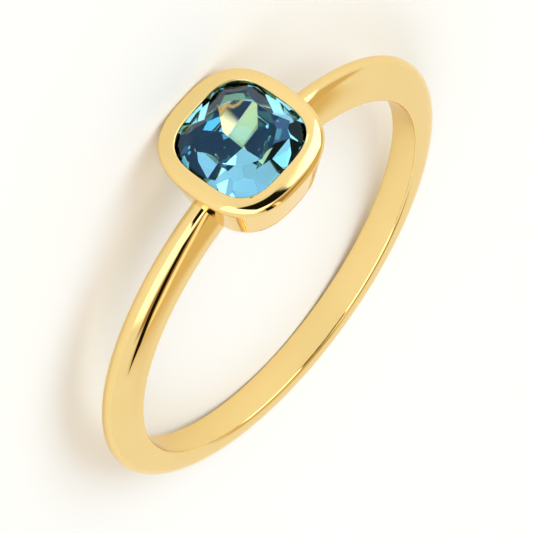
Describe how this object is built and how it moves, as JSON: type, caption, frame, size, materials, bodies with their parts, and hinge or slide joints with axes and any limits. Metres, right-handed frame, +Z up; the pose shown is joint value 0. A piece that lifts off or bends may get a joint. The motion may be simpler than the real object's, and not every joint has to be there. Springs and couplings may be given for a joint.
{
  "type": "stackable ring",
  "caption": "Slim domed finger ring lying on its side, with a square cushion-cut aqua stone held in a smooth rolled bezel.",
  "frame": {"origin": "middle of the bottom of the ring's own box, on the surface that the ring lies on", "axes": "+Z up from that surface; the stone faces -Y, raised about 7 degrees; X runs along the band under the stone, so the finger's axis is +Z leaning 7 degrees towards +Y"},
  "size_m": [0.02, 0.0218, 0.0063],
  "materials": {
    "gold": "polished",
    "stone": "polished facets"
  },
  "bodies": {
    "root": {"band_and_bezel": "gold", "cushion_stone": "stone"}
  },
  "joints": []
}
